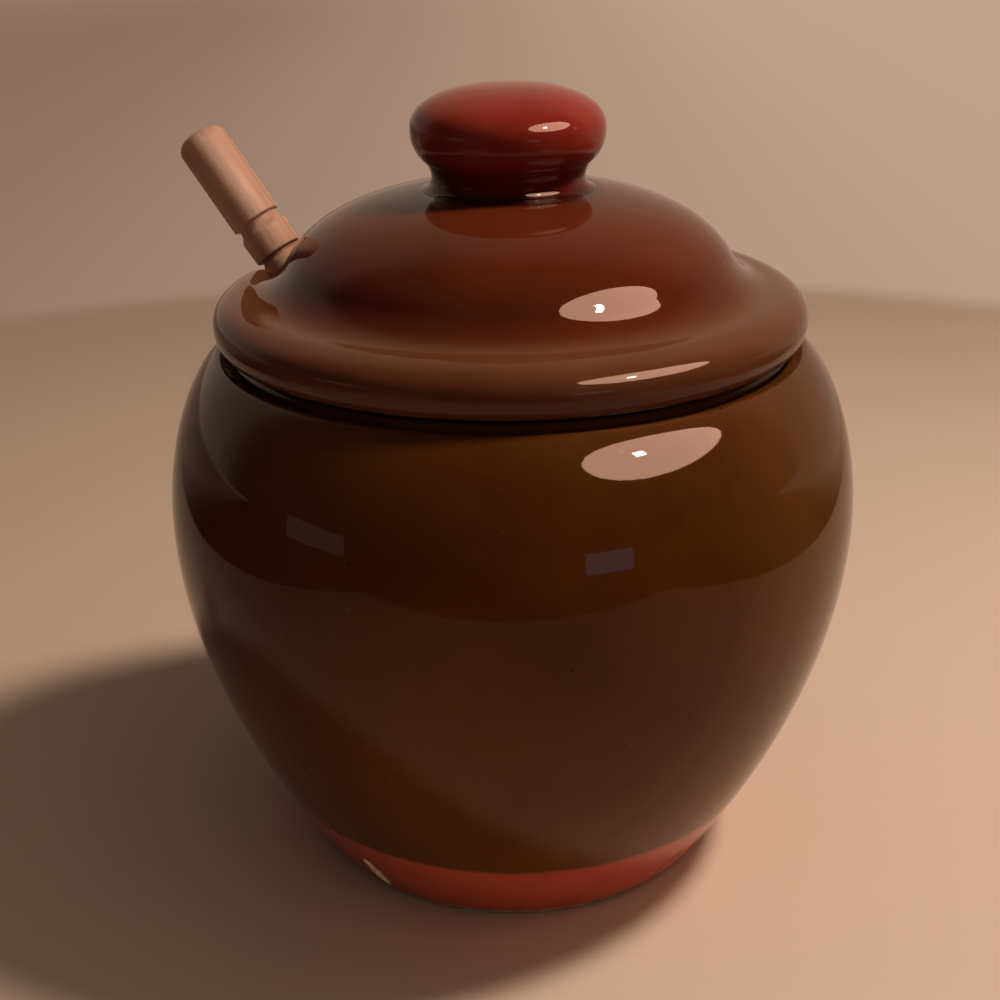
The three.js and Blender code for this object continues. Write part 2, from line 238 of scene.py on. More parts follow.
def arc(centre, radius, start, end, count):
    """Points round a centre, between two angles in quarter turns."""
    t = np.linspace(start, end, count + 1) * QUARTER
    return np.stack([centre[0] + radius * np.cos(t), centre[1] + radius * np.sin(t)], -1)


def oval(a, b, power, angles, z, down=False):
    """Points of a superellipse about the height z, at angles from its widest point."""
    c = np.clip(np.cos(angles), 0, 1) ** (2 / power)
    s = np.clip(np.sin(angles), 0, 1) ** (2 / power)
    return np.stack([a * c, z + (-b if down else b) * s], -1)


def oval_angle(share, power):
    """The angle at which a superellipse has a share of its height."""
    return math.asin(share ** (power / 2))


def joined(*stretches):
    """One profile of many stretches, with no point twice."""
    points = np.concatenate([np.atleast_2d(np.array(s, float)) for s in stretches])
    keep = np.ones(len(points), bool)
    keep[1:] = np.linalg.norm(np.diff(points, axis=0), axis=1) > 1e-4
    return points[keep]


def inner_line(points):
    """A line moved inwards by the wall."""
    way = np.gradient(points, axis=0)
    way /= np.linalg.norm(way, axis=1)[:, None]
    return points + WALL * np.stack([-way[:, 1], way[:, 0]], -1)


def pot_profile():
    lower, upper = cubic(LOWER_LINE, 80), cubic(UPPER_LINE, 50)
    wall = inner_line(joined(lower, upper))
    wall = wall[(wall[:, 1] > WALL_FROM_Z) & (wall[:, 1] < WALL_TO_Z)]
    top_way = wall[-1] - wall[-2]
    top_way *= UNDER_RIM_PULL / np.linalg.norm(top_way)
    low_way = wall[1] - wall[0]
    low_way *= FLOOR_FILLET / np.linalg.norm(low_way)
    under = [UNDER_RIM, (UNDER_RIM[0] + UNDER_RIM_PULL, UNDER_RIM[1]), wall[-1] + top_way, wall[-1]]
    toe = [wall[0], wall[0] - low_way, (FLOOR_R + FLOOR_FILLET, FLOOR_Z), (FLOOR_R, FLOOR_Z)]
    foot_out = FOOT_OUTER_R - FOOT_EDGE
    foot_in = FOOT_INNER_R + FOOT_EDGE
    return joined(
        [(0, RECESS_Z), (10, RECESS_Z), (20, RECESS_Z)],
        arc((FOOT_INNER_R - RECESS_FILLET, RECESS_Z - RECESS_FILLET), RECESS_FILLET, 1, 0, 6),
        arc((foot_in, FOOT_EDGE), FOOT_EDGE, 2, 3, 5),
        arc((foot_out, FOOT_EDGE), FOOT_EDGE, 3, 4, 5),
        cubic(FOOT_LINE, 6),
        lower,
        upper,
        cubic(RIM_LINE, 8),
        cubic(STEP_LINE, 10),
        [(47, SEAT_Z), (45.5, SEAT_Z)],
        arc((MOUTH_R + MOUTH_EDGE, SEAT_Z - MOUTH_EDGE), MOUTH_EDGE, 1, 2, 8),
        [(MOUTH_R, 94.5)],
        cubic(THROAT_LINE, 8),
        cubic(under, 24),
        wall[::-2],
        cubic(toe, 20),
        [(16, FLOOR_Z), (8, FLOOR_Z), (0, FLOOR_Z)],
    )


def lid_profile():
    low = oval_angle((ROOT_DOME_Z - DOME_Z) / DOME_UP, DOME_POWER)
    high = oval_angle((KNOB_SEAT_Z - DOME_Z) / DOME_UP, DOME_POWER)
    outer = oval(DOME_R, DOME_UP, DOME_POWER, np.linspace(low, high, 80), DOME_Z)
    inner_r, inner_up = DOME_R - DOME_WALL, DOME_UP - DOME_WALL
    inner = oval(inner_r, inner_up, DOME_POWER, np.linspace(QUARTER, 0, 70), DOME_Z)
    edge_z = COLLAR_Z + COLLAR_EDGE
    return joined(
        inner,
        arc((COLLAR_INNER_R + COLLAR_EDGE, edge_z), COLLAR_EDGE, 2, 3, 8),
        arc((COLLAR_OUTER_R - COLLAR_EDGE, edge_z), COLLAR_EDGE, 3, 4, 8),
        arc((COLLAR_OUTER_R + COLLAR_FILLET, SEAT_Z - COLLAR_FILLET), COLLAR_FILLET, 2, 1, 6),
        [(LIP_R, SEAT_Z)],
        cubic(LIP_LINE, 24),
        cubic(ROLL_LINE, 30),
        cubic(BRIM_LINE, 8),
        cubic([*ROOT_LINE_START, outer[0]], 20),
        outer,
        [(0, KNOB_SEAT_Z)],
    )


def knob_profile():
    join = math.acos((KNOB_JOIN_R / KNOB_R) ** (KNOB_POWER_DOWN / 2))
    lower = oval(KNOB_R, KNOB_DOWN, KNOB_POWER_DOWN, np.linspace(join, 0, 24), KNOB_Z, down=True)
    upper = oval(KNOB_R, KNOB_UP, KNOB_POWER_UP, np.linspace(0, QUARTER, 50), KNOB_Z)
    neck = [(KNOB_BASE_R, KNOB_SEAT_Z), (NECK_R, NECK_LOW_Z), (NECK_R, NECK_TOP_Z), lower[0]]
    return joined([(0, KNOB_SEAT_Z), (8, KNOB_SEAT_Z)], cubic(neck, 28), lower, upper)


def rounded(points, radius, count=4):
    """A profile with each corner but the first and last rounded by a small arc."""
    made = [np.array(points[0], float)]
    for before, at, after in zip(points, points[1:], points[2:]):
        before, at, after = (np.array(p, float) for p in (before, at, after))
        to_before, to_after = before - at, after - at
        room = min(radius, np.linalg.norm(to_before) / 2.2, np.linalg.norm(to_after) / 2.2)
        a = at + to_before / np.linalg.norm(to_before) * room
        b = at + to_after / np.linalg.norm(to_after) * room
        t = np.linspace(0, 1, count + 1)[:, None]
        made.extend((1 - t) ** 2 * a + 2 * (1 - t) * t * at + t**2 * b)
    made.append(np.array(points[-1], float))
    return np.array(made)


def head_radius(height):
    share = HEAD_END * abs(2 * height / HEAD_LENGTH - 1)
    return HEAD_R * (1 - share**HEAD_POWER) ** (1 / HEAD_POWER)


def head_profile(edge):
    """The head from its tip up, each disc with its edges cut by the given size."""
    disc = (HEAD_LENGTH - (DISC_COUNT - 1) * DISC_GAP) / DISC_COUNT
    made = []
    for i in range(DISC_COUNT):
        low = i * (disc + DISC_GAP)
        high = low + disc
        if i:
            made.append((CORE_R, low))
        made.append((head_radius(low) - edge, low))
        made.append((head_radius(low + edge), low + edge))
        made.append((head_radius(high - edge), high - edge))
        made.append((head_radius(high) - edge, high))
        if i < DISC_COUNT - 1:
            made.append((CORE_R, high))
    return made


def tip_place():
    """Where the tip lies along the axis, so that the head stands just over the floor."""
    sunk = min(h * math.cos(LEAN) - r * math.sin(LEAN) for r, h in head_profile(DISC_EDGE))
    return -(SEAT_Z - FLOOR_Z - TIP_GAP + sunk) / math.cos(LEAN)


def dipper_profile():
    tip = tip_place()
    corners = [(0, tip)]
    corners += [(r, h + tip) for r, h in head_profile(DISC_EDGE)]
    corners += [
        (SHAFT_R, tip + HEAD_LENGTH),
        (SHAFT_R, SECOND_END - DISC_EDGE),
        (SECOND_R, SECOND_END),
        (SECOND_R, BEAD_END - BEAD_SLOPE),
        (BEAD_LOW_R, BEAD_END),
        (BEAD_R, GROOVE_LOW),
        (GROOVE_R, (GROOVE_TOP + GROOVE_LOW) / 2),
        (GROOVE_R, GROOVE_TOP - GROOVE_SLOPE),
        (GRIP_R, GROOVE_TOP),
        (GRIP_R, GRIP_END - GRIP_ROUND),
    ]
    body = rounded(corners, CORNER_ROUND)
    cap = arc((GRIP_R - GRIP_ROUND, GRIP_END - GRIP_ROUND), GRIP_ROUND, 0, 1, 14)
    shaft = [(SHAFT_R, z) for z in np.linspace(tip + HEAD_LENGTH + 2, SECOND_END - 3, 14)]
    cut = int(np.searchsorted(body[:, 1], shaft[0][1]))
    return joined(body[:cut], shaft, body[cut:], cap, [(0, GRIP_END)])


def turned_mesh(name, profile, around):
    """A closed mesh in metres of a profile turned about +Z, its poles on the axis."""
    profile = np.array(profile, float)
    profile[np.abs(profile[:, 0]) < 1e-6, 0] = 0
    angles = np.linspace(0, 2 * math.pi, around, endpoint=False)
    ring = profile[1:-1]
    points = np.empty((len(ring), around, 3))
    points[..., 0] = ring[:, :1] * np.cos(angles)
    points[..., 1] = ring[:, :1] * np.sin(angles)
    points[..., 2] = ring[:, 1:]
    verts = [(0, 0, profile[0][1]), *map(tuple, points.reshape(-1, 3)), (0, 0, profile[-1][1])]
    verts = (np.array(verts) * MM).tolist()
    last = len(verts) - 1
    faces = []
    for j in range(around):
        k = (j + 1) % around
        faces.append((0, 1 + k, 1 + j))
        for i in range(len(ring) - 1):
            a, b = 1 + i * around, 1 + (i + 1) * around
            faces.append((a + j, a + k, b + k, b + j))
        end = 1 + (len(ring) - 1) * around
        faces.append((last, end + j, end + k))
    mesh = bpy.data.meshes.new(name)
    mesh.from_pydata(verts, [], faces)
    mesh.polygons.foreach_set("use_smooth", [True] * len(mesh.polygons))
    mesh.update()
    return mesh


def piece(name, mesh, material, body, node):
    """A piece of the visual model, which stands for one CAD node."""
    made = bpy.data.objects.new(name, mesh)
    bpy.context.scene.collection.objects.link(made)
    mesh.materials.clear()
    mesh.materials.append(material)
    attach(made, body)
    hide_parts(node)
    return made


def placed(mesh, matrix):
    """A mesh moved to its place in the row frame."""
    mesh.transform(matrix)
    mesh.update()
    return mesh


ON_AXIS = Matrix.Translation((AXIS_X, 0, 0))


class Line:
    """A closed profile with the distance to it and its normal, for any points (r, z)."""

    def __init__(self, profile):
        loop = np.vstack([profile, profile[:1]])
        self.a, self.b = loop[:-1], loop[1:]
        self.way = self.b - self.a
        self.length = np.linalg.norm(self.way, axis=1)
        flat = self.way / self.length[:, None]
        self.flat = np.stack([flat[:, 1], -flat[:, 0]], -1)
        corner = self.flat + np.roll(self.flat, 1, axis=0)
        self.corner = corner / np.linalg.norm(corner, axis=1)[:, None]
        self.corner[[0, -1]] = (0, -1), (0, 1)

    def distance(self, points):
        made, normals = np.empty(len(points)), np.empty((len(points), 2))
        for start in range(0, len(points), 20000):
            p = points[start : start + 20000]
            t = ((p[:, None] - self.a) * self.way).sum(-1) / self.length**2
            t = np.clip(t, 0, 1)
            gap = p[:, None] - (self.a + t[..., None] * self.way)
            far = (gap**2).sum(-1)
            far[:, -1] = np.inf
            k = far.argmin(1)
            rows = np.arange(len(p))
            gap, t = gap[rows, k], t[rows, k]
            side = np.where((gap * self.flat[k]).sum(-1) < 0, -1, 1)
            made[start : start + 20000] = side * np.sqrt(far[rows, k])
            after = self.corner[(k + 1) % len(self.corner)]
            n = self.corner[k] * (1 - t[:, None]) + after * t[:, None]
            normals[start : start + 20000] = n / np.linalg.norm(n, axis=1)[:, None]
        return made, normals


def rounded_most(a, b):
    """The greater of two fields, eased where they cross, and how near the crossing is."""
    near = np.maximum(NOTCH_ROUND - np.abs(a - b), 0) / NOTCH_ROUND
    return np.maximum(a, b) + near**2 * NOTCH_ROUND / 4, near


class Lid:
    """The lid as a field: negative inside the turned shape and outside the dipper's slot."""

    def __init__(self):
        self.line = Line(lid_profile())
        self.start = np.array([-AXIS_R, 0, SEAT_Z])
        self.out = np.array([-math.cos(LEAN), 0, -math.sin(LEAN)])

    def turned(self, p):
        r = np.hypot(p[:, 0], p[:, 1])
        d, n = self.line.distance(np.stack([r, p[:, 2]], -1))
        safe = np.maximum(r, 1e-6)
        normal = np.stack([n[:, 0] * p[:, 0] / safe, n[:, 0] * p[:, 1] / safe, n[:, 1]], -1)
        return d, normal

    def slot(self, p):
        x = (p - self.start) @ self.out
        y = p[:, 1]
        inner = x < 0
        wide = np.where(inner, np.hypot(x, y), np.abs(y))
        safe = np.maximum(wide, 1e-6)
        along = np.where(inner, x / safe, 0)
        across = np.where(inner, y / safe, np.sign(y))
        normal = -(along[:, None] * self.out)
        normal[:, 1] -= across
        return NOTCH_HALF - wide, normal

    def field(self, p):
        a, na = self.turned(p)
        b, nb = self.slot(p)
        value, near = rounded_most(a, b)
        share = np.where(a > b, 1 - near / 2, near / 2)[:, None]
        return value, share * na + (1 - share) * nb


def surface_net(values, low, step):
    """Points and quads where a field on a grid passes zero, one point in each mixed cell."""
    inside = values < 0
    cells = np.array(values.shape) - 1
    total, count = np.zeros((cells.prod(), 3)), np.zeros(cells.prod())
    crossings = []
    for axis in range(3):
        one, two = (axis + 1) % 3, (axis + 2) % 3
        first = [slice(None)] * 3
        second = [slice(None)] * 3
        first[axis], second[axis] = slice(None, -1), slice(1, None)
        at = np.argwhere(inside[tuple(first)] != inside[tuple(second)])
        step_on = np.zeros(3, int)
        step_on[axis] = 1
        v0, v1 = values[tuple(at.T)], values[tuple((at + step_on).T)]
        place = at.astype(float)
        place[:, axis] += v0 / (v0 - v1)
        ring = []
        for d1, d2 in ((-1, -1), (0, -1), (0, 0), (-1, 0)):
            cell = at.copy()
            cell[:, one] += d1
            cell[:, two] += d2
            flat = np.ravel_multi_index(cell.T, cells)
            np.add.at(total, flat, place)
            np.add.at(count, flat, 1)
            ring.append(flat)
        ring = np.stack(ring, -1)
        ring[v0 > 0] = ring[v0 > 0][:, ::-1]
        crossings.append(ring)
    used = np.flatnonzero(count)
    number = np.full(cells.prod(), -1)
    number[used] = np.arange(len(used))
    points = total[used] / count[used][:, None] * step + low
    return points, number[np.concatenate(crossings)]


def lid_mesh(name):
    """The lid's surface, with its notch's edges rounded, as an even net of small faces."""
    lid = Lid()
    low = np.array([-ROLL_R, -ROLL_R, COLLAR_Z]) - 2 * LID_VOXEL
    high = np.array([ROLL_R, ROLL_R, KNOB_SEAT_Z]) + 2 * LID_VOXEL
    grid = [np.arange(a, b, LID_VOXEL) for a, b in zip(low, high)]
    fine = LID_TABLE_STEP
    table_r = np.arange(0, ROLL_R * 1.5, fine)
    table_z = np.arange(low[2], high[2] + fine, fine)
    rr, zz = np.meshgrid(table_r, table_z, indexing="ij")
    table = lid.line.distance(np.stack([rr.ravel(), zz.ravel()], -1))[0].reshape(rr.shape)
    x, y, z = np.meshgrid(*grid, indexing="ij")
    fr, fz = np.hypot(x, y) / fine, (z - low[2]) / fine
    ir, iz = fr.astype(int), fz.astype(int)
    tr, tz = fr - ir, fz - iz
    turned = (
        table[ir, iz] * (1 - tr) * (1 - tz)
        + table[ir + 1, iz] * tr * (1 - tz)
        + table[ir, iz + 1] * (1 - tr) * tz
        + table[ir + 1, iz + 1] * tr * tz
    )
    cut = lid.slot(np.stack([x.ravel(), y.ravel(), z.ravel()], -1))[0].reshape(x.shape)
    points, quads = surface_net(rounded_most(turned, cut)[0], low, LID_VOXEL)
    edges = np.concatenate([quads[:, [0, 1]], quads[:, [1, 2]], quads[:, [2, 3]], quads[:, [3, 0]]])
    for smoothing in (1, 1, 1, 0, 0):
        if smoothing:
            total, count = np.zeros_like(points), np.zeros(len(points))
            np.add.at(total, edges[:, 0], points[edges[:, 1]])
            np.add.at(count, edges[:, 0], 1)
            points = (points + total / count[:, None]) / 2
        for _ in range(3):
            value, normal = lid.field(points)
            move = value[:, None] * normal / (normal**2).sum(-1)[:, None]
            points = points - np.clip(move, -LID_VOXEL, LID_VOXEL)
    normal = lid.field(points)[1]
    normal /= np.linalg.norm(normal, axis=1)[:, None]
    mesh = bpy.data.meshes.new(name)
    mesh.from_pydata((points * MM).tolist(), [], quads.tolist())
    mesh.polygons.foreach_set("use_smooth", [True] * len(mesh.polygons))
    mesh.update()
    mesh.normals_split_custom_set_from_vertices(normal.tolist())
    return mesh


def smooth(x):
    x = np.clip(x, 0, 1)
    return x * x * (3 - 2 * x)


def wobble(along, z, strength, seed, scale):
    return strength * noise.noise(Vector((along, z, seed)) * scale)


def round_from_chip(p):
    """The way round the band from the chip's middle, in millimetres."""
    return BAND_R * math.remainder(math.atan2(p.y, p.x) - CHIP_ANGLE, 2 * math.pi)


def chipped(mesh):
    """A flake broken out of the band's lower edge, cut into a finer patch of the body."""
    bm = bmesh.new()
    bm.from_mesh(mesh)
    layer = bm.verts.layers.float.new("bare")
    wide, tall = CHIP_PATCH[0] * CHIP_HALF[0], CHIP_PATCH[1] * CHIP_HALF[1]
    for cuts in (3, 2):
        near = []
        for edge in bm.edges:
            p = (edge.verts[0].co + edge.verts[1].co) / 2 / MM
            if abs(round_from_chip(p)) < wide and abs(p.z - CHIP_Z) < tall:
                if math.hypot(p.x, p.y) > FOOT_INNER_R + FOOT_EDGE + 1:
                    near.append(edge)
        bmesh.ops.subdivide_edges(bm, edges=near, cuts=cuts, use_grid_fill=True)
    bm.normal_update()
    moves = []
    for v in bm.verts:
        p = v.co / MM
        if p.z > CHIP_Z + CHIP_TOP or math.hypot(p.x, p.y) < FOOT_INNER_R + 1:
            continue
        along = round_from_chip(p)
        if abs(along) > wide:
            continue
        rise = p.z - CHIP_Z - CHIP_SLANT * along
        uneven = wobble(along, p.z, *CHIP_UNEVEN) + wobble(along, p.z, *CHIP_RAGGED)
        reach = math.hypot(along / CHIP_HALF[0], rise / CHIP_HALF[1]) + uneven
        deep = float(smooth((1.0 - reach) / CHIP_EDGE))
        v[layer] = deep
        if deep > 0:
            rough = wobble(along, p.z, *CHIP_FLOOR)
            upper = min(max(rise / CHIP_HALF[1] / 2 + 0.5, 0), 1)
            moves.append((v, v.normal * (-CHIP_DEPTH * MM * deep * (0.25 + 0.75 * upper + rough))))
    for v, move in moves:
        v.co += move
    bm.to_mesh(mesh)
    bm.free()
    mesh.polygons.foreach_set("use_smooth", [True] * len(mesh.polygons))
    mesh.update()
    return mesh


def linear(code):
    """A colour written as in a picture, as the shader takes it."""
    parts = [int(code[i : i + 2], 16) / 255 for i in (0, 2, 4)]
    made = [c / 12.92 if c < 0.04045 else ((c + 0.055) / 1.055) ** 2.4 for c in parts]
    return (*made, 1.0)


class Shader:
    """A material's nodes, with short calls for the few kinds that are used here."""

    def __init__(self, name):
        self.material = bpy.data.materials.new(name)
        self.material.use_nodes = True
        self.tree = self.material.node_tree
        self.tree.nodes.clear()
        self.out = self.tree.nodes.new("ShaderNodeOutputMaterial")
        self.shader = self.tree.nodes.new("ShaderNodeBsdfPrincipled")
        self.link(self.shader.outputs[0], self.out.inputs["Surface"])
        self.place = self.tree.nodes.new("ShaderNodeTexCoord").outputs["Object"]

    def link(self, a, b):
        self.tree.links.new(a, b)

    def feed(self, socket, value):
        if isinstance(value, bpy.types.NodeSocket):
            self.link(value, socket)
        else:
            socket.default_value = value

    def set(self, **values):
        for name, value in values.items():
            self.feed(self.shader.inputs[name.replace("_", " ")], value)

    def noise(self, scale, detail=2.0, rough=0.5, place=None, warp=0.0):
        node = self.tree.nodes.new("ShaderNodeTexNoise")
        self.link(place or self.place, node.inputs["Vector"])
        node.inputs["Scale"].default_value = scale
        node.inputs["Detail"].default_value = detail
        node.inputs["Roughness"].default_value = rough
        node.inputs["Distortion"].default_value = warp
        return node.outputs[0]

    def cells(self, scale, place=None):
        node = self.tree.nodes.new("ShaderNodeTexVoronoi")
        self.link(place or self.place, node.inputs["Vector"])
        node.inputs["Scale"].default_value = scale
        return node.outputs["Distance"], node.outputs["Color"]

    def ramp(self, value, low, high, start=0.0, end=1.0, soft=True):
        node = self.tree.nodes.new("ShaderNodeMapRange")
        node.interpolation_type = "SMOOTHSTEP" if soft else "LINEAR"
        for socket, given in zip(node.inputs, (value, low, high, start, end)):
            self.feed(socket, given)
        return node.outputs[0]

    def over(self, value, span, start=0.0, end=1.0):
        """A ramp over a span in millimetres."""
        return self.ramp(value, span[0] * MM, span[1] * MM, start, end)

    def math(self, operation, a, b=0.0):
        node = self.tree.nodes.new("ShaderNodeMath")
        node.operation = operation
        for socket, given in zip(node.inputs, (a, b)):
            self.feed(socket, given)
        return node.outputs[0]

    def mix(self, share, a, b):
        node = self.tree.nodes.new("ShaderNodeMix")
        node.data_type = "RGBA"
        self.feed(node.inputs[0], share)
        self.feed(node.inputs[6], linear(a) if isinstance(a, str) else a)
        self.feed(node.inputs[7], linear(b) if isinstance(b, str) else b)
        return node.outputs[2]

    def split(self, place=None):
        node = self.tree.nodes.new("ShaderNodeSeparateXYZ")
        self.link(place or self.place, node.inputs[0])
        return node.outputs

    def moved(self, location=(0, 0, 0), rotation=(0, 0, 0), scale=(1, 1, 1), place=None):
        node = self.tree.nodes.new("ShaderNodeMapping")
        self.link(place or self.place, node.inputs["Vector"])
        node.inputs["Location"].default_value = location
        node.inputs["Rotation"].default_value = rotation
        node.inputs["Scale"].default_value = scale
        return node.outputs[0]

    def attribute(self, name):
        node = self.tree.nodes.new("ShaderNodeAttribute")
        node.attribute_name = name
        return node.outputs["Fac"]

    def bump(self, height, distance, strength=1.0, under=None):
        node = self.tree.nodes.new("ShaderNodeBump")
        node.inputs["Strength"].default_value = strength
        node.inputs["Distance"].default_value = distance
        self.link(height, node.inputs["Height"])
        if under:
            self.link(under, node.inputs["Normal"])
        return node.outputs[0]


def radius(s):
    """The distance from the pot's axis, and the height over the table."""
    x, y, z = s.split(s.moved(location=(-AXIS_X, 0, 0)))
    across = s.math("ADD", s.math("MULTIPLY", x, x), s.math("MULTIPLY", y, y))
    return s.math("SQRT", across), z


def mottled(s, dark, light, scale):
    """A glaze of two tones: large soft clouds and fine mottling."""
    cloud = s.ramp(s.noise(scale, 3.0, 0.55, warp=0.4), 0.34, 0.66)
    colour = s.mix(cloud, dark, light)
    fine = s.ramp(s.noise(240.0, 4.0, 0.6), 0.3, 0.7, 0.0, 0.22)
    return s.mix(fine, colour, light)


def speckled(s, colour, rows):
    """Small specks in some of the cells of a Voronoi pattern, a pattern for each row."""
    for tone, scale, size, most, seed in rows:
        distance, tint = s.cells(scale, s.moved(location=(seed, seed, seed)))
        chosen = s.ramp(s.split(tint)[0], 1 - most, 1 - most + 0.02, soft=False)
        spot = s.ramp(distance, size, size * 1.6, 1.0, 0.0)
        colour = s.mix(s.math("MULTIPLY", spot, chosen), colour, tone)
    return colour


def wander(s, scale, most):
    """A rise and fall that makes a painted edge uneven."""
    return s.ramp(s.noise(scale, 2.0), 0.2, 0.8, -most, most, soft=False)


def glassy(s, ripple=GLAZE_RIPPLE):
    """A fired glaze: clear and glossy over its colour, with slow ripples and a fine peel."""
    slow = s.bump(s.noise(ripple[0], 2.0, 0.4), ripple[1])
    normal = s.bump(s.noise(GLAZE_PEEL[0], 2.0, 0.5), GLAZE_PEEL[1], under=slow)
    s.set(Normal=normal, Coat_Normal=normal)
    s.set(Specular_IOR_Level=0.0, IOR=GLAZE_IOR)
    s.set(Coat_Weight=1.0, Coat_Roughness=COAT_ROUGH, Coat_IOR=COAT_IOR)


def bare_clay(s):
    return s.mix(s.ramp(s.noise(700.0, 4.0), 0.35, 0.65), CLAY_DARK, CLAY_LIGHT)


def brown_rough(s, bare):
    """The roughness of the brown glaze, and of the clay where it is bare."""
    gloss = s.ramp(s.noise(120.0, 3.0), 0.3, 0.7, *BROWN_ROUGH)
    return s.math("ADD", gloss, s.math("MULTIPLY", bare, BARE_ROUGH))


def body_glaze():
    s = Shader("brown_body_glaze")
    far, z = radius(s)
    brown = mottled(s, BODY_DARK, BODY_LIGHT, BODY_CLOUD)
    brown = s.mix(s.over(z, LOW_SPAN, 0.3, 0.0), brown, BODY_LOW)
    brown = speckled(s, brown, BODY_SPECKS)
    height = s.math("ADD", z, s.math("ADD", wander(s, *BAND_WAVE), wander(s, *BAND_RIPPLE)))
    red = speckled(s, mottled(s, BAND_DARK, BAND_LIGHT, BAND_CLOUD), BAND_SPECKS)
    colour = s.mix(s.over(height, BAND_SPAN, 1.0, 0.0), brown, red)
    edge = s.math("MULTIPLY", s.over(height, EDGE_FROM), s.over(height, EDGE_TO, 1.0, 0.0))
    colour = s.mix(s.math("MULTIPLY", edge, 0.5), colour, BAND_EDGE)
    foot = s.math("MULTIPLY", s.over(height, FOOT_SPAN, 1.0, 0.0), s.over(far, RECESS_SPAN))
    # The foot's bare clay is mixed part of the way towards a darker tone
    colour = s.mix(foot, colour, s.mix(0.35, bare_clay(s), CLAY_FOOT_TONE))
    chip = s.ramp(s.attribute("bare"), 0.12, 0.3)
    # Pale clay in the chip, painted whiter than the bare clay as a painted highlight
    fresh_clay_and_sheen = s.mix(s.ramp(s.noise(900.0, 4.0), 0.3, 0.7), CHIP_CLAY_AND_SHEEN_DARK, CHIP_CLAY_AND_SHEEN_LIGHT)
    colour = s.mix(chip, colour, fresh_clay_and_sheen)
    bare = s.math("MAXIMUM", foot, chip)
    s.set(Base_Color=colour, Roughness=brown_rough(s, bare))
    glassy(s)
    s.set(Coat_Weight=s.math("SUBTRACT", 1.0, bare))
    return s.material


def lid_glaze():
    s = Shader("brown_lid_glaze")
    far, z = radius(s)
    dome = mottled(s, DOME_DARK, DOME_LIGHT, LID_CLOUD)
    # Painted light: the flange is lighter than the dome, as its upturned face catches more light
    lit_flange = mottled(s, LIT_FLANGE_DARK, LIT_FLANGE_LIGHT, LID_CLOUD)
    colour = speckled(s, s.mix(s.over(far, LIT_FLANGE_SPAN), dome, lit_flange), LID_SPECKS)
    # Painted shade on the dome round the knob's foot
    knob_shade = s.math("MULTIPLY", s.over(far, KNOB_SHADE_SPAN, 0.8, 0.0), s.over(z, KNOB_SHADE_RISE))
    colour = s.mix(knob_shade, colour, KNOB_FOOT_SHADE)
    bare = s.math("MULTIPLY", s.over(z, SEAT_SPAN, 1.0, 0.0), s.over(far, RING_SPAN))
    bare = s.math("MULTIPLY", bare, s.over(far, LIP_SPAN, 1.0, 0.0))
    colour = s.mix(bare, colour, bare_clay(s))
    s.set(Base_Color=colour, Roughness=brown_rough(s, bare))
    glassy(s)
    return s.material


def knob_glaze():
    s = Shader("red_knob_glaze")
    z = s.split()[2]
    height = s.math("ADD", z, wander(s, *KNOB_WAVE))
    red = speckled(s, mottled(s, KNOB_DARK, KNOB_LIGHT, KNOB_CLOUD), KNOB_SPECKS)
    # Painted shade: darker on the neck, fading out under the cap
    colour = s.mix(s.over(height, NECK_SPAN, 1.0, 0.0), red, NECK_SHADE)
    # Painted shade at the knob's foot, where it meets the dome
    colour = s.mix(s.over(height, KNOB_FOOT_SPAN, 0.85, 0.0), colour, KNOB_FOOT_SHADE)
    s.set(Base_Color=colour, Roughness=s.ramp(s.noise(150.0, 3.0), 0.3, 0.7, *KNOB_ROUGH))
    glassy(s, KNOB_RIPPLE)
    return s.material


def drawn_out(s, along, scale, detail, rough, warp, share):
    """A texture drawn out along the stick, where it has only a share of its scale."""
    return s.noise(scale, detail, rough, s.moved(scale=(1, 1, share), place=along), warp)


def dipper_wood():
    """Pale fine-grained wood with streaks and pores, darker at its ends and in a groove."""
    s = Shader("pale_dipper_wood")
    shift = s.moved(location=(AXIS_R * MM - AXIS_X, 0, -SEAT_Z * MM))
    along = s.moved(rotation=(0, LEAN, 0), place=shift)
    h = s.split(along)[2]
    streak = drawn_out(s, along, *WOOD_STREAKS)
    broad = drawn_out(s, along, *WOOD_BANDS)
    pore = drawn_out(s, along, *WOOD_PORES)
    colour = s.mix(s.ramp(broad, 0.32, 0.68), WOOD_DARK, WOOD_LIGHT)
    colour = s.mix(s.ramp(streak, 0.4, 0.7, 0.0, 0.65), colour, WOOD_STREAK)
    colour = s.mix(s.ramp(pore, 0.6, 0.74, 0.0, 0.35), colour, WOOD_PORE)
    groove = s.math("MULTIPLY", s.over(h, GROOVE_FROM, 0.0, 0.6), s.over(h, GROOVE_TO, 1.0, 0.0))
    colour = s.mix(groove, colour, WOOD_GROOVE)
    colour = s.mix(s.over(h, END_SPAN, 0.0, 0.3), colour, WOOD_END)
    colour = s.mix(s.over(h, WET_SPAN, 0.45, 0.0), colour, WOOD_WET)
    rough = s.ramp(streak, 0.3, 0.7, *WOOD_ROUGH)
    s.set(Base_Color=colour, Roughness=rough, Specular_IOR_Level=WOOD_GLOSS)
    grain = s.math("ADD", streak, s.math("MULTIPLY", pore, 0.4))
    s.set(Normal=s.bump(grain, WOOD_RELIEF, 0.5))
    return s.material


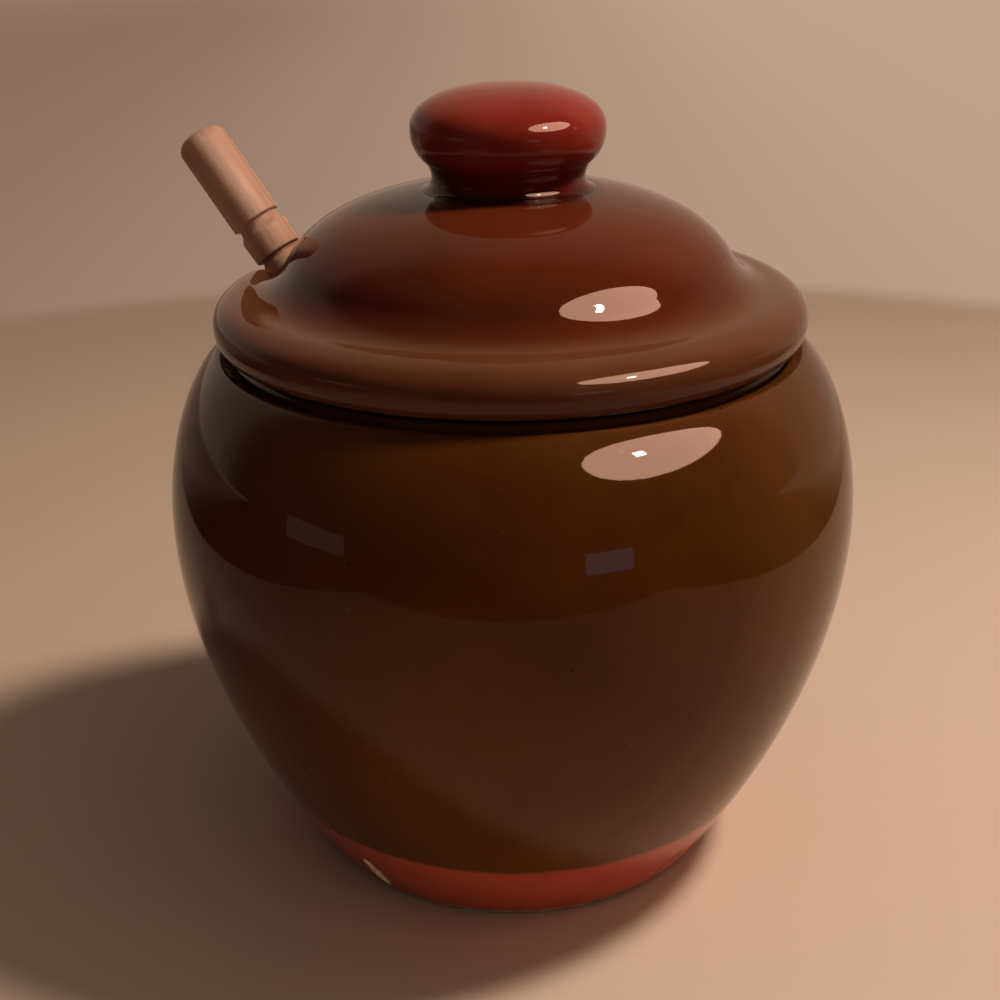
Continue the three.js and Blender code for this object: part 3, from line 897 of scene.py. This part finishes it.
def floor_paint():
    """A pale table in a dim room, with a glowing wall behind it for camera and gloss, its painted
    shade darker to the left.
    """
    s = Shader("pale_table")
    tone = s.ramp(s.noise(3.0, 2.0), 0.3, 0.7)
    pale = s.mix(tone, TABLE_DARK, TABLE_LIGHT)
    turned = s.moved(location=(-AXIS_X, 0, 0), rotation=(0, 0, -CAMERA_AZIMUTH))
    x, y = s.split(turned)[:2]
    wide = s.math("ABSOLUTE", x)
    deep = s.math("ABSOLUTE", s.math("SUBTRACT", y, TABLE_SHIFT))
    reach = s.math("MAXIMUM", wide, s.math("MULTIPLY", deep, TABLE_DEPTH_SHARE))
    table = s.mix(s.ramp(reach, *TABLE_END), pale, ROOM_DARK)
    s.set(Base_Color=table, Roughness=FLOOR_ROUGH, Specular_IOR_Level=FLOOR_GLOSS)
    far = radius(s)[0]
    path = s.tree.nodes.new("ShaderNodeLightPath")
    mirrored = s.math("MULTIPLY", path.outputs["Is Glossy Ray"], s.ramp(y, *MIRROR_FROM))
    seen = s.math("MAXIMUM", path.outputs["Is Camera Ray"], mirrored)
    shown = s.tree.nodes.new("ShaderNodeBsdfPrincipled")
    shown.inputs["Specular IOR Level"].default_value = FLOOR_GLOSS
    shown.inputs["Roughness"].default_value = FLOOR_ROUGH
    s.link(pale, shown.inputs["Base Color"])
    wall = s.tree.nodes.new("ShaderNodeEmission")
    # Painted shade on the glowing wall, darker to the left
    near_tone = s.mix(s.ramp(x, *WALL_SHADE), WALL_DIM, WALL_LIT)
    s.link(s.mix(s.ramp(far, *WALL_FAR), near_tone, WALL_LIT), wall.inputs["Color"])
    behind = s.tree.nodes.new("ShaderNodeMixShader")
    s.link(s.ramp(far, *WALL_NEAR), behind.inputs[0])
    s.link(shown.outputs[0], behind.inputs[1])
    s.link(wall.outputs[0], behind.inputs[2])
    either = s.tree.nodes.new("ShaderNodeMixShader")
    s.link(seen, either.inputs[0])
    s.link(s.shader.outputs[0], either.inputs[1])
    s.link(behind.outputs[0], either.inputs[2])
    s.link(either.outputs[0], s.out.inputs["Surface"])
    return s.material


# The pieces
body = chipped(turned_mesh("glazed_pot", pot_profile(), AROUND_BODY))
piece("glazed_pot", placed(body, ON_AXIS), body_glaze(), "pot", "pot_body")

lid = placed(lid_mesh("glazed_lid"), ON_AXIS)
piece("glazed_lid", lid, lid_glaze(), "lid", "lid_dome")

knob = placed(turned_mesh("glazed_knob", knob_profile(), AROUND_KNOB), ON_AXIS)
piece("glazed_knob", knob, knob_glaze(), "lid", "lid_knob")

stick = turned_mesh("wooden_dipper", dipper_profile(), AROUND_DIPPER)
to_seat = Matrix.Translation((AXIS_X - AXIS_R * MM, 0, SEAT_Z * MM))
placed(stick, to_seat @ Matrix.Rotation(-LEAN, 4, "Y"))
piece("wooden_dipper", stick, dipper_wood(), "dipper", "honey_dipper")

# Floor
corners = [(x * FLOOR_HALF, y * FLOOR_HALF, 0) for x, y in ((-1, -1), (1, -1), (1, 1), (-1, 1))]
floor_mesh = bpy.data.meshes.new("floor")
floor_mesh.from_pydata(corners, [], [(0, 1, 2, 3)])
floor_mesh.materials.append(floor_paint())
floor = bpy.data.objects.new("floor", floor_mesh)
bpy.context.scene.collection.objects.link(floor)


def area_light(name, azimuth, elevation, far, shape, size, power, colour, height, served):
    """A soft lamp, out of the camera's sight, that faces a point over the origin."""
    a, e = math.radians(FRONT + azimuth), math.radians(elevation)
    back = Vector((math.sin(a) * math.cos(e), -math.cos(a) * math.cos(e), math.sin(e)))
    data = bpy.data.lights.new(name, "AREA")
    data.shape = shape
    data.size, data.size_y = size
    data.energy = power
    data.color = colour
    made = bpy.data.objects.new(name, data)
    made.location = Vector((0, 0, height)) + back * far
    made.rotation_mode = "QUATERNION"
    made.rotation_quaternion = (-back).to_track_quat("-Z", "Y")
    made.visible_camera = False
    made.visible_diffuse = served == "matt"
    made.visible_glossy = served == "gloss"
    bpy.context.scene.collection.objects.link(made)


for lamp_name, values in LAMPS.items():
    area_light(lamp_name, *values)

# World: dim and warm round the object, pale where the camera and the gloss see the wall
world = bpy.data.worlds.new("studio")
bpy.context.scene.world = world
world.use_nodes = True
tree = world.node_tree
around = tree.nodes["Background"]
around.inputs["Color"].default_value = ROOM_LIGHT
around.inputs["Strength"].default_value = 1.0
seen = tree.nodes.new("ShaderNodeBackground")
seen.inputs["Color"].default_value = linear(WALL_LIT)
seen.inputs["Strength"].default_value = 1.0
path = tree.nodes.new("ShaderNodeLightPath")
way = tree.nodes.new("ShaderNodeTexCoord")
back = tree.nodes.new("ShaderNodeVectorMath")
back.operation = "DOT_PRODUCT"
back.inputs[1].default_value = (-math.sin(CAMERA_AZIMUTH), math.cos(CAMERA_AZIMUTH), 0)
behind = tree.nodes.new("ShaderNodeMapRange")
behind.interpolation_type = "SMOOTHSTEP"
behind.inputs["From Min"].default_value = WALL_DIRECTION[0]
behind.inputs["From Max"].default_value = WALL_DIRECTION[1]
mirrored = tree.nodes.new("ShaderNodeMath")
mirrored.operation = "MULTIPLY"
shown = tree.nodes.new("ShaderNodeMath")
shown.operation = "MAXIMUM"
either = tree.nodes.new("ShaderNodeMixShader")
tree.links.new(way.outputs["Generated"], back.inputs[0])
tree.links.new(back.outputs["Value"], behind.inputs["Value"])
tree.links.new(behind.outputs[0], mirrored.inputs[0])
tree.links.new(path.outputs["Is Glossy Ray"], mirrored.inputs[1])
tree.links.new(path.outputs["Is Camera Ray"], shown.inputs[0])
tree.links.new(mirrored.outputs[0], shown.inputs[1])
tree.links.new(shown.outputs[0], either.inputs[0])
tree.links.new(around.outputs[0], either.inputs[1])
tree.links.new(seen.outputs[0], either.inputs[2])
tree.links.new(either.outputs[0], tree.nodes["World Output"].inputs["Surface"])

# The photograph's camera
camera_data = bpy.data.cameras.new("camera")
camera_data.lens = CAMERA_LENS
camera_data.sensor_width = CAMERA_SENSOR
camera_data.clip_start, camera_data.clip_end = CAMERA_CLIP
camera = bpy.data.objects.new("camera", camera_data)
bpy.context.scene.collection.objects.link(camera)
turn = Matrix.Rotation(CAMERA_AZIMUTH, 4, "Z")
eye = Matrix.Translation((0, -CAMERA_BACK * MM, CAMERA_HIGH * MM))
aim = Matrix.Rotation(-CAMERA_YAW, 4, "Z") @ Matrix.Rotation(QUARTER + CAMERA_PITCH, 4, "X")
roll = Matrix.Rotation(CAMERA_ROLL, 4, "Z")
camera.matrix_world = ON_AXIS @ turn @ eye @ aim @ roll
bpy.context.scene.camera = camera
bpy.context.scene.view_settings.view_transform = "Standard"
